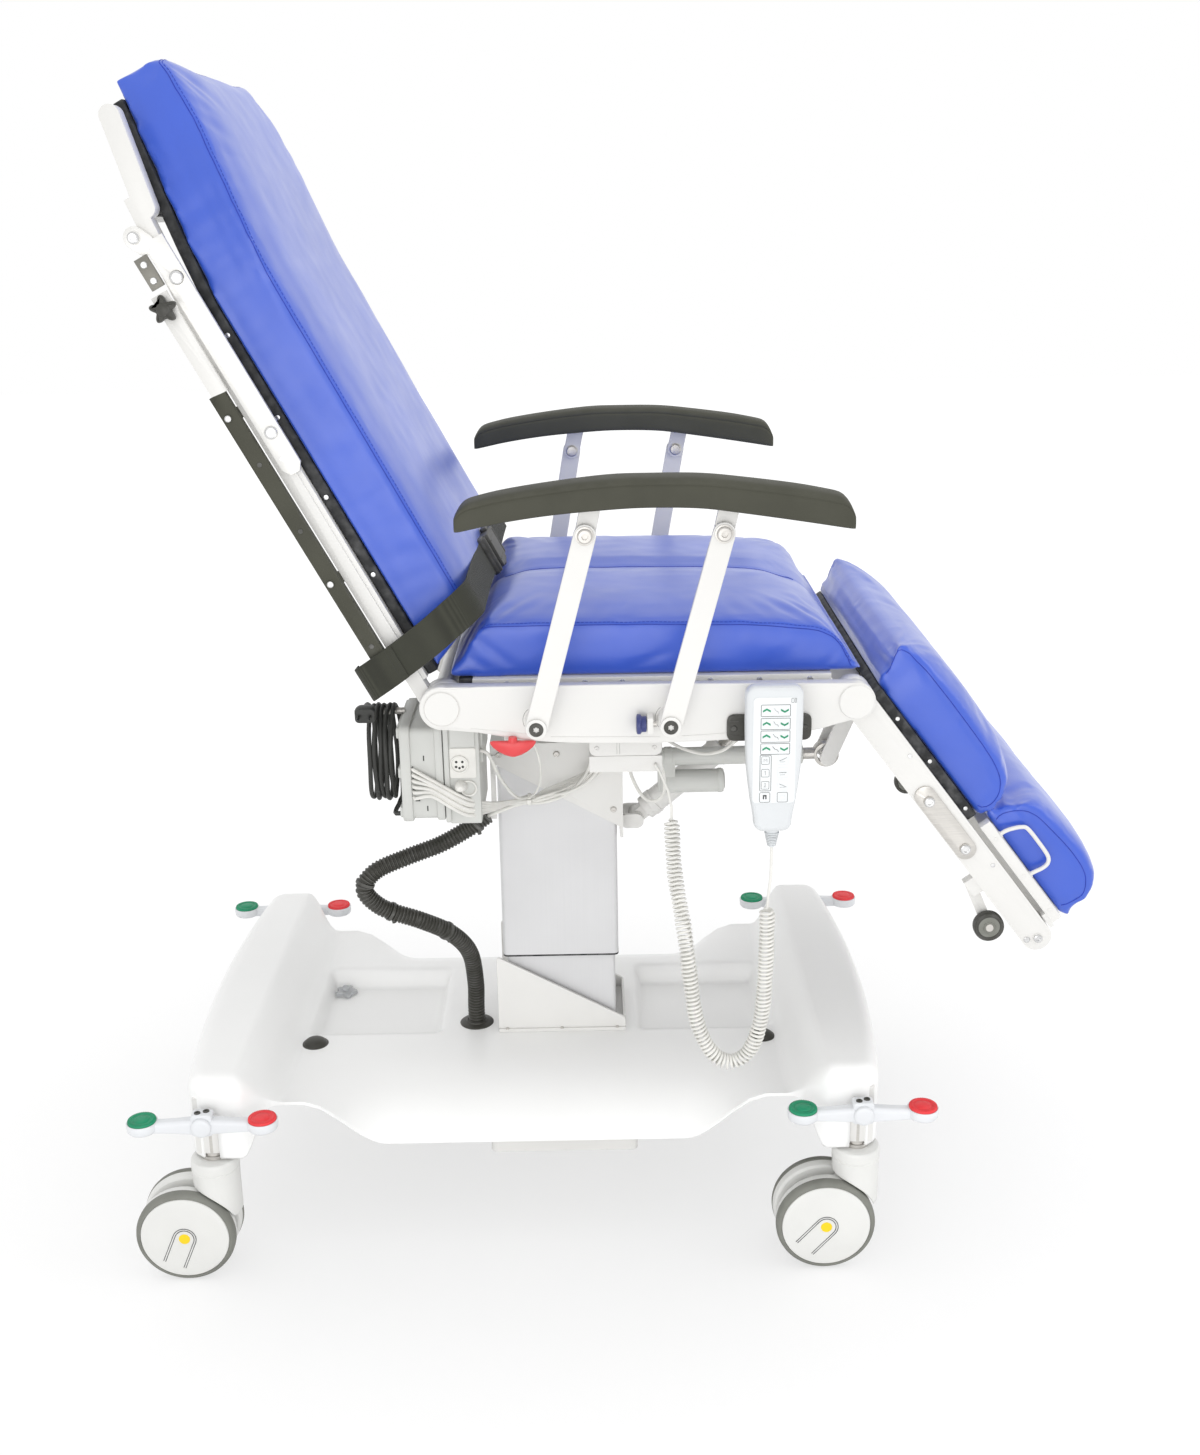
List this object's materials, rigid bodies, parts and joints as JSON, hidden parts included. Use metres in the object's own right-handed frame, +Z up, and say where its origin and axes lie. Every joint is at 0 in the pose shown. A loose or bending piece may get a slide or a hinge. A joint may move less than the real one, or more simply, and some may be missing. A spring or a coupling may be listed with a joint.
{
  "type": "procedure chair",
  "caption": "Powered procedure chair on a castered base: lifting column, padded seat, reclining back, rising leg section, swinging arms, hanging handset and corner brake pedals.",
  "frame": {"origin": "middle of the chair's bounding box, on the floor", "axes": "+X towards the foot end, +Y towards the side without the handset, +Z up"},
  "size_m": [1.4352, 0.802, 1.721],
  "materials": {
    "cover_white": "satin moulded",
    "frame_white": "powder coated",
    "column_silver": "satin anodised",
    "steel": "satin",
    "vinyl_blue": "matte upholstery vinyl",
    "board_black": "matte",
    "black_plastic": "matte moulded",
    "pad_dark": "soft moulded",
    "webbing": "woven",
    "wheel_white": "satin moulded",
    "pedal_grey": "satin moulded",
    "handset_grey": "satin moulded",
    "box_grey": "satin moulded",
    "cord_grey": "smooth sheath",
    "cord_black": "smooth sheath",
    "red_plastic": "satin moulded",
    "navy_plastic": "satin moulded",
    "wheel_grey": "smooth tread"
  },
  "bodies": {
    "base": {"base_cover": "cover_white", "base_frame": "frame_white", "cover_fittings": "black_plastic", "column_inner": "column_silver", "column_foot": "frame_white", "conduit": "black_plastic"},
    "lift": {"column_outer": "column_silver", "column_head": "frame_white"},
    "seat": {"seat_frame": "frame_white", "seat_deck": "board_black", "seat_cushion": "vinyl_blue", "control_box": "box_grey", "mains_hank": "cord_black", "mains_plug": "cord_black", "cable_bundle": "cord_grey", "handset_holder": "black_plastic", "handset_cord": "cord_grey"},
    "back": {"back_frame": "frame_white", "back_deck": "board_black", "back_cushion": "vinyl_blue", "back_plates": "steel", "back_bars": "pad_dark", "seat_belt": "webbing"},
    "leg": {"leg_frame": "frame_white", "leg_deck": "board_black", "leg_cushion": "vinyl_blue"},
    "foot": {"foot_frame": "frame_white", "foot_cushion": "vinyl_blue", "foot_handles": "frame_white"},
    "handset_body": {"handset": "handset_grey"},
    "release_handle_body": {"release_handle": "red_plastic"},
    "leg_actuator_body": {"leg_actuator": "box_grey"},
    "leg_rod_body": {"leg_rod": "steel"},
    "tilt_actuator_body": {"tilt_actuator": "frame_white"},
    "tilt_rod_body": {"tilt_rod": "steel"},
    "back_actuator_body": {"back_actuator": "box_grey"},
    "back_rod_body": {"back_rod": "steel"},
    "clamp_knob_near_body": {"clamp_knob_near": "black_plastic"},
    "clamp_knob_far_body": {"clamp_knob_far": "black_plastic"},
    "transport_wheels_body": {"transport_wheels": "wheel_grey"},
    "pedal_head_near_body": {"pedal_head_near": "pedal_grey"},
    "caster_hood_head_near_body": {"caster_hood_head_near": "wheel_white"},
    "caster_wheels_head_near_body": {"caster_wheels_head_near": "wheel_white"},
    "pedal_head_far_body": {"pedal_head_far": "pedal_grey"},
    "caster_hood_head_far_body": {"caster_hood_head_far": "wheel_white"},
    "caster_wheels_head_far_body": {"caster_wheels_head_far": "wheel_white"},
    "pedal_foot_near_body": {"pedal_foot_near": "pedal_grey"},
    "caster_hood_foot_near_body": {"caster_hood_foot_near": "wheel_white"},
    "caster_wheels_foot_near_body": {"caster_wheels_foot_near": "wheel_white"},
    "pedal_foot_far_body": {"pedal_foot_far": "pedal_grey"},
    "caster_hood_foot_far_body": {"caster_hood_foot_far": "wheel_white"},
    "caster_wheels_foot_far_body": {"caster_wheels_foot_far": "wheel_white"},
    "arm_post_rear_near_body": {"arm_post_rear_near": "frame_white"},
    "arm_post_front_near_body": {"arm_post_front_near": "frame_white"},
    "arm_pad_near_body": {"arm_pad_near": "pad_dark"},
    "arm_plunger_near_body": {"arm_plunger_near": "navy_plastic"},
    "arm_post_rear_far_body": {"arm_post_rear_far": "frame_white"},
    "arm_post_front_far_body": {"arm_post_front_far": "frame_white"},
    "arm_pad_far_body": {"arm_pad_far": "pad_dark"},
    "arm_plunger_far_body": {"arm_plunger_far": "navy_plastic"}
  },
  "joints": [
    {"name": "column_lift", "type": "slide", "parent": "base", "child": "lift", "axis": [0, 0, 1], "range_m": [-0.115, 0.12], "deforming": ["conduit"]},
    {"name": "seat_tilt", "type": "hinge", "parent": "lift", "child": "seat", "pos_m": [-0.0496, 0, 0.77], "axis": [0, -1, 0], "range_deg": [-8, 15]},
    {"name": "back_recline", "type": "hinge", "parent": "seat", "child": "back", "pos_m": [-0.2196, 0, 0.895], "axis": [0, -1, 0], "range_deg": [0, 62]},
    {"name": "leg_lift", "type": "hinge", "parent": "seat", "child": "leg", "pos_m": [0.3474, 0, 0.895], "axis": [0, -1, 0], "range_deg": [0, 53]},
    {"name": "foot_slide", "type": "slide", "parent": "leg", "child": "foot", "axis": [0.6018, 0, -0.7986], "range_m": [0, 0.1]},
    {"name": "arm_near_rear_swing", "type": "hinge", "parent": "seat", "child": "arm_post_rear_near_body", "pos_m": [-0.0896, -0.382, 0.877], "axis": [0, -1, 0], "range_deg": [0, 95]},
    {"name": "arm_near_front_swing", "type": "hinge", "parent": "seat", "child": "arm_post_front_near_body", "pos_m": [0.0914, -0.382, 0.877], "axis": [0, -1, 0], "range_deg": [0, 95]},
    {"name": "arm_near_pad_pivot", "type": "hinge", "parent": "arm_post_rear_near_body", "child": "arm_pad_near_body", "pos_m": [-0.01972, -0.382, 1.1378], "axis": [0, -1, 0], "range_deg": [-95, 0]},
    {"name": "arm_near_plunger", "type": "slide", "parent": "seat", "child": "arm_plunger_near_body", "axis": [-1, 0, 0], "range_m": [0, 0.01], "stiffness_N_per_m": 300},
    {"name": "arm_far_rear_swing", "type": "hinge", "parent": "seat", "child": "arm_post_rear_far_body", "pos_m": [-0.0896, 0.382, 0.877], "axis": [0, -1, 0], "range_deg": [0, 90]},
    {"name": "arm_far_front_swing", "type": "hinge", "parent": "seat", "child": "arm_post_front_far_body", "pos_m": [0.0914, 0.382, 0.877], "axis": [0, -1, 0], "range_deg": [0, 90]},
    {"name": "arm_far_pad_pivot", "type": "hinge", "parent": "arm_post_rear_far_body", "child": "arm_pad_far_body", "pos_m": [-0.04271, 0.382, 1.1429], "axis": [0, -1, 0], "range_deg": [-90, 0]},
    {"name": "arm_far_plunger", "type": "slide", "parent": "seat", "child": "arm_plunger_far_body", "axis": [-1, 0, 0], "range_m": [0, 0.01], "stiffness_N_per_m": 300},
    {"name": "release_pull", "type": "slide", "parent": "seat", "child": "release_handle_body", "axis": [0, -1, 0], "range_m": [0, 0.025], "stiffness_N_per_m": 200},
    {"name": "handset_lift_off", "type": "slide", "parent": "seat", "child": "handset_body", "axis": [0, 0, 1], "range_m": [0, 0.05]},
    {"name": "clamp_knob_near_turn", "type": "hinge", "parent": "back", "child": "clamp_knob_near_body", "pos_m": [-0.5461, -0.342, 1.42812], "axis": [0, 1, 0], "continuous": true},
    {"name": "clamp_knob_far_turn", "type": "hinge", "parent": "back", "child": "clamp_knob_far_body", "pos_m": [-0.5461, 0.342, 1.42812], "axis": [0, 1, 0], "continuous": true},
    {"name": "transport_roll", "type": "hinge", "parent": "leg", "child": "transport_wheels_body", "pos_m": [0.55701, 0, 0.53958], "axis": [0, 1, 0], "continuous": true},
    {"name": "pedal_head_near_rock", "type": "hinge", "parent": "base", "child": "pedal_head_near_body", "pos_m": [-0.5956, -0.378, 0.274], "axis": [0, -1, 0], "range_deg": [-22, 22]},
    {"name": "caster_head_near_swivel", "type": "hinge", "parent": "base", "child": "caster_hood_head_near_body", "pos_m": [-0.5956, -0.331, 0.19], "axis": [0, 0, 1], "continuous": true},
    {"name": "wheels_head_near_roll", "type": "hinge", "parent": "caster_hood_head_near_body", "child": "caster_wheels_head_near_body", "pos_m": [-0.6426, -0.331, 0.075], "axis": [0, 1, 0], "continuous": true},
    {"name": "pedal_head_far_rock", "type": "hinge", "parent": "base", "child": "pedal_head_far_body", "pos_m": [-0.5956, 0.378, 0.274], "axis": [0, -1, 0], "range_deg": [-22, 22]},
    {"name": "caster_head_far_swivel", "type": "hinge", "parent": "base", "child": "caster_hood_head_far_body", "pos_m": [-0.5956, 0.331, 0.19], "axis": [0, 0, 1], "continuous": true},
    {"name": "wheels_head_far_roll", "type": "hinge", "parent": "caster_hood_head_far_body", "child": "caster_wheels_head_far_body", "pos_m": [-0.6426, 0.331, 0.075], "axis": [0, 1, 0], "continuous": true},
    {"name": "pedal_foot_near_rock", "type": "hinge", "parent": "base", "child": "pedal_foot_near_body", "pos_m": [0.3724, -0.378, 0.274], "axis": [0, -1, 0], "range_deg": [-22, 22]},
    {"name": "caster_foot_near_swivel", "type": "hinge", "parent": "base", "child": "caster_hood_foot_near_body", "pos_m": [0.3724, -0.331, 0.19], "axis": [0, 0, 1], "continuous": true},
    {"name": "wheels_foot_near_roll", "type": "hinge", "parent": "caster_hood_foot_near_body", "child": "caster_wheels_foot_near_body", "pos_m": [0.3254, -0.331, 0.075], "axis": [0, 1, 0], "continuous": true},
    {"name": "pedal_foot_far_rock", "type": "hinge", "parent": "base", "child": "pedal_foot_far_body", "pos_m": [0.3724, 0.378, 0.274], "axis": [0, -1, 0], "range_deg": [-22, 22]},
    {"name": "caster_foot_far_swivel", "type": "hinge", "parent": "base", "child": "caster_hood_foot_far_body", "pos_m": [0.3724, 0.331, 0.19], "axis": [0, 0, 1], "continuous": true},
    {"name": "wheels_foot_far_roll", "type": "hinge", "parent": "caster_hood_foot_far_body", "child": "caster_wheels_foot_far_body", "pos_m": [0.3254, 0.331, 0.075], "axis": [0, 1, 0], "continuous": true},
    {"name": "leg_drive_pivot", "type": "hinge", "parent": "seat", "child": "leg_actuator_body", "pos_m": [0.0644, -0.12, 0.743], "axis": [0, -1, 0], "range_deg": [-1, 8]},
    {"name": "leg_drive_stroke", "type": "slide", "parent": "leg_actuator_body", "child": "leg_rod_body", "axis": [1, 0, 0.0071], "range_m": [-0.002, 0.134]},
    {"name": "tilt_drive_pivot", "type": "hinge", "parent": "lift", "child": "tilt_actuator_body", "pos_m": [0.0534, 0, 0.602], "axis": [0, -1, 0], "range_deg": [-8, 14]},
    {"name": "tilt_drive_stroke", "type": "slide", "parent": "tilt_actuator_body", "child": "tilt_rod_body", "axis": [0.7682, 0, 0.6402], "range_m": [-0.03, 0.054]},
    {"name": "back_drive_pivot", "type": "hinge", "parent": "seat", "child": "back_actuator_body", "pos_m": [0.1284, 0.12, 0.831], "axis": [0, -1, 0], "range_deg": [-1, 3]},
    {"name": "back_drive_stroke", "type": "slide", "parent": "back_actuator_body", "child": "back_rod_body", "axis": [-0.9999, 0, 0.0104], "range_m": [-0.076, 0.002]}
  ],
  "couplings": [
    {"joint": "leg_drive_pivot", "follows": "leg_lift", "ratio": 0.1252},
    {"joint": "leg_drive_stroke", "follows": "leg_lift", "m_per_rad": 0.1402},
    {"joint": "tilt_drive_pivot", "follows": "seat_tilt", "ratio": 0.8441},
    {"joint": "tilt_drive_stroke", "follows": "seat_tilt", "m_per_rad": 0.1929},
    {"joint": "back_drive_pivot", "follows": "back_recline", "ratio": 0.0174},
    {"joint": "back_drive_stroke", "follows": "back_recline", "m_per_rad": -0.0665},
    {"joint": "arm_near_front_swing", "follows": "arm_near_rear_swing", "ratio": 1},
    {"joint": "arm_near_pad_pivot", "follows": "arm_near_rear_swing", "ratio": -1},
    {"joint": "arm_far_front_swing", "follows": "arm_far_rear_swing", "ratio": 1},
    {"joint": "arm_far_pad_pivot", "follows": "arm_far_rear_swing", "ratio": -1},
    {"joint": "pedal_head_far_rock", "follows": "pedal_head_near_rock", "ratio": 1},
    {"joint": "pedal_foot_near_rock", "follows": "pedal_head_near_rock", "ratio": 1},
    {"joint": "pedal_foot_far_rock", "follows": "pedal_head_near_rock", "ratio": 1}
  ]
}
